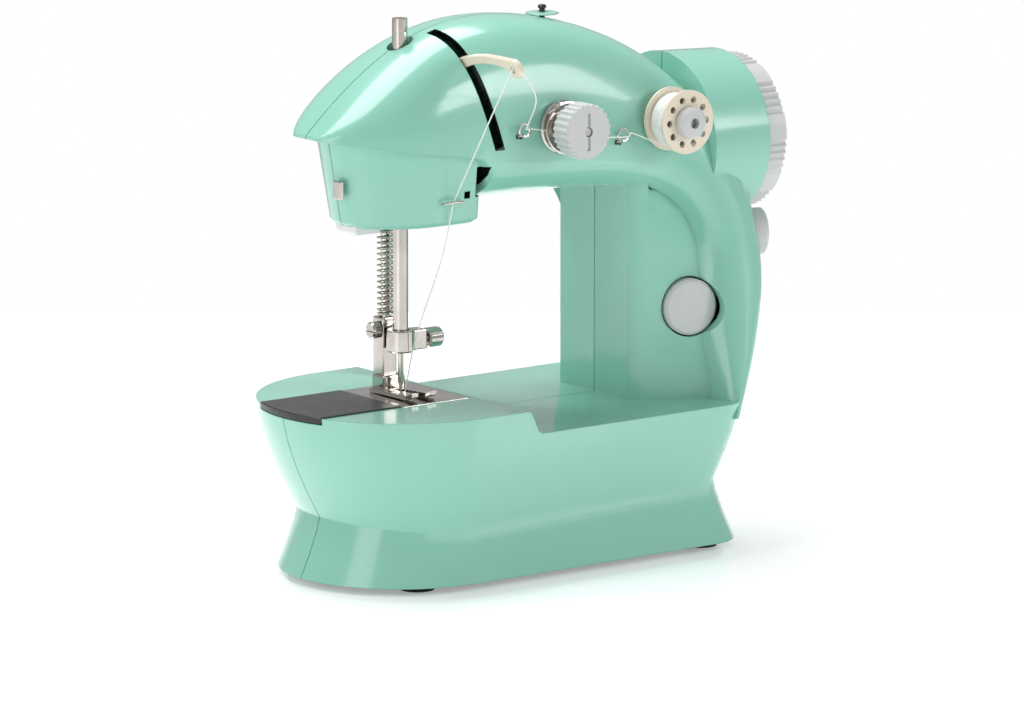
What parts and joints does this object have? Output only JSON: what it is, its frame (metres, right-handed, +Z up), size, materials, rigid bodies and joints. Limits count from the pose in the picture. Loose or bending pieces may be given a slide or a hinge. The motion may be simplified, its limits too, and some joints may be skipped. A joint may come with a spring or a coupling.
{
  "type": "sewing machine",
  "caption": "Compact electric sewing machine with a curved free-standing arm, a flared table base, exposed needle and presser bars, a dial, a spool and a ribbed handwheel.",
  "frame": {"origin": "middle of the footprint, on the surface that the feet stand on", "axes": "+X along the arm to the handwheel, -Y to the front, +Z up"},
  "size_m": [0.1969, 0.1015, 0.1913],
  "materials": {
    "mint_plastic": "glossy moulded ABS with a soft sheen",
    "dark_plastic": "satin moulded plastic",
    "rubber": "matte rubber",
    "chrome": "bright nickel plate",
    "steel": "turned steel",
    "brass": "sintered bronze bush",
    "cream_plastic": "glossy moulded nylon",
    "grey_plastic": "fine satin moulding",
    "lamp_plastic": "frosted translucent moulding"
  },
  "bodies": {
    "machine_body": {"front_shell": "mint_plastic", "rear_shell": "mint_plastic", "base_plate": "dark_plastic", "battery_cover": "dark_plastic", "rubber_foot_1": "rubber", "rubber_foot_2": "rubber", "rubber_foot_3": "rubber", "rubber_foot_4": "rubber", "needle_plate": "chrome", "lifter_pin": "steel", "take_up_pivot": "steel", "lamp_lens": "lamp_plastic", "needle_thread_guide": "chrome", "thread_cutter": "chrome", "tension_stud": "steel", "tension_disc_inner": "chrome", "tension_disc_outer": "chrome", "tension_spring": "chrome", "spool_spindle": "steel", "spool_cap": "grey_plastic", "arm_guide_left": "chrome", "arm_guide_right": "chrome", "spool_pin_base": "mint_plastic", "shell_screw_1": "steel", "shell_screw_2": "steel", "shell_screw_3": "steel", "shell_screw_4": "steel", "power_jack": "dark_plastic", "pedal_jack": "dark_plastic", "motor": "steel", "motor_belt": "rubber", "timing_belt": "rubber", "shaft_bush_left": "brass", "shaft_bush_right": "brass"},
    "main_shaft_group": {"main_shaft": "steel", "crank_disc": "steel", "shaft_pulley": "dark_plastic", "handwheel": "grey_plastic"},
    "motor_rotor": {"motor_pulley": "dark_plastic"},
    "lower_shaft_group": {"lower_shaft": "steel"},
    "hook_group": {"rotary_hook": "steel", "lower_bobbin": "cream_plastic"},
    "needle_group": {"needle_bar": "chrome", "needle_clamp": "chrome", "needle_screw": "chrome", "needle": "chrome", "connecting_rod": "steel"},
    "take_up_group": {"take_up_lever": "cream_plastic"},
    "feed_group": {"feed_dog": "steel"},
    "presser_group": {"presser_bar": "chrome", "presser_foot": "chrome", "presser_screw": "chrome", "presser_spring": "chrome"},
    "lifter_group": {"lifter_lever": "dark_plastic"},
    "cover_group": {"bobbin_cover": "dark_plastic"},
    "dial_group": {"tension_dial": "grey_plastic"},
    "upper_bobbin_group": {"upper_bobbin": "cream_plastic"},
    "spool_pin_group": {"spool_pin": "dark_plastic"},
    "power_button_group": {"power_button": "grey_plastic"},
    "lamp_button_group": {"lamp_button": "grey_plastic"}
  },
  "joints": [
    {"name": "main_shaft_spin", "type": "hinge", "parent": "machine_body", "child": "main_shaft_group", "pos_m": [0, 0, 0.139], "axis": [1, 0, 0], "continuous": true},
    {"name": "motor_spin", "type": "hinge", "parent": "machine_body", "child": "motor_rotor", "pos_m": [0.07, 0, 0.092], "axis": [1, 0, 0], "continuous": true},
    {"name": "lower_shaft_spin", "type": "hinge", "parent": "machine_body", "child": "lower_shaft_group", "pos_m": [0, 0, 0.03], "axis": [1, 0, 0], "continuous": true},
    {"name": "hook_spin", "type": "hinge", "parent": "machine_body", "child": "hook_group", "pos_m": [-0.066, 0, 0.05], "axis": [0, 0, 1], "continuous": true},
    {"name": "needle_stroke", "type": "slide", "parent": "machine_body", "child": "needle_group", "axis": [0, 0, 1], "range_m": [0, 0.021]},
    {"name": "take_up_swing", "type": "hinge", "parent": "machine_body", "child": "take_up_group", "pos_m": [-0.0299, 0, 0.1575], "axis": [0.9558, 0, 0.294], "range_deg": [0, 32]},
    {"name": "feed_stroke", "type": "slide", "parent": "machine_body", "child": "feed_group", "axis": [0, 1, 0], "range_m": [0, 0.0026]},
    {"name": "presser_lift", "type": "slide", "parent": "machine_body", "child": "presser_group", "axis": [0, 0, 1], "range_m": [0, 0.006], "deforming": ["presser_spring"]},
    {"name": "lifter_swing", "type": "hinge", "parent": "machine_body", "child": "lifter_group", "pos_m": [-0.0489, 0.019, 0.141], "axis": [1, 0, 0], "range_deg": [0, 38]},
    {"name": "bobbin_cover_slide", "type": "slide", "parent": "machine_body", "child": "cover_group", "axis": [-1, 0, 0], "range_m": [0, 0.036]},
    {"name": "tension_dial_turn", "type": "hinge", "parent": "machine_body", "child": "dial_group", "pos_m": [-0.001, -0.03, 0.153], "axis": [0, -1, 0], "range_deg": [-150, 150]},
    {"name": "upper_bobbin_spin", "type": "hinge", "parent": "machine_body", "child": "upper_bobbin_group", "pos_m": [0.045, -0.03, 0.1515], "axis": [0, -1, 0], "continuous": true},
    {"name": "spool_pin_rise", "type": "slide", "parent": "machine_body", "child": "spool_pin_group", "axis": [0, 0, 1], "range_m": [0, 0.03]},
    {"name": "power_button_press", "type": "slide", "parent": "machine_body", "child": "power_button_group", "axis": [0.3641, 0.9313, 0], "range_m": [0, 0.0015], "stiffness_N_per_m": 400},
    {"name": "lamp_button_press", "type": "slide", "parent": "machine_body", "child": "lamp_button_group", "axis": [-0.9292, 0.3697, 0], "range_m": [0, 0.0015], "stiffness_N_per_m": 400}
  ],
  "couplings": [
    {"joint": "motor_spin", "follows": "main_shaft_spin", "ratio": 2.561},
    {"joint": "lower_shaft_spin", "follows": "main_shaft_spin", "ratio": 1},
    {"joint": "hook_spin", "follows": "main_shaft_spin", "ratio": -1},
    {"joint": "take_up_swing", "follows": "needle_stroke", "rad_per_m": 26.5},
    {"joint": "feed_stroke", "follows": "needle_stroke", "ratio": 0.12},
    {"joint": "lifter_swing", "follows": "presser_lift", "rad_per_m": 110.5}
  ]
}
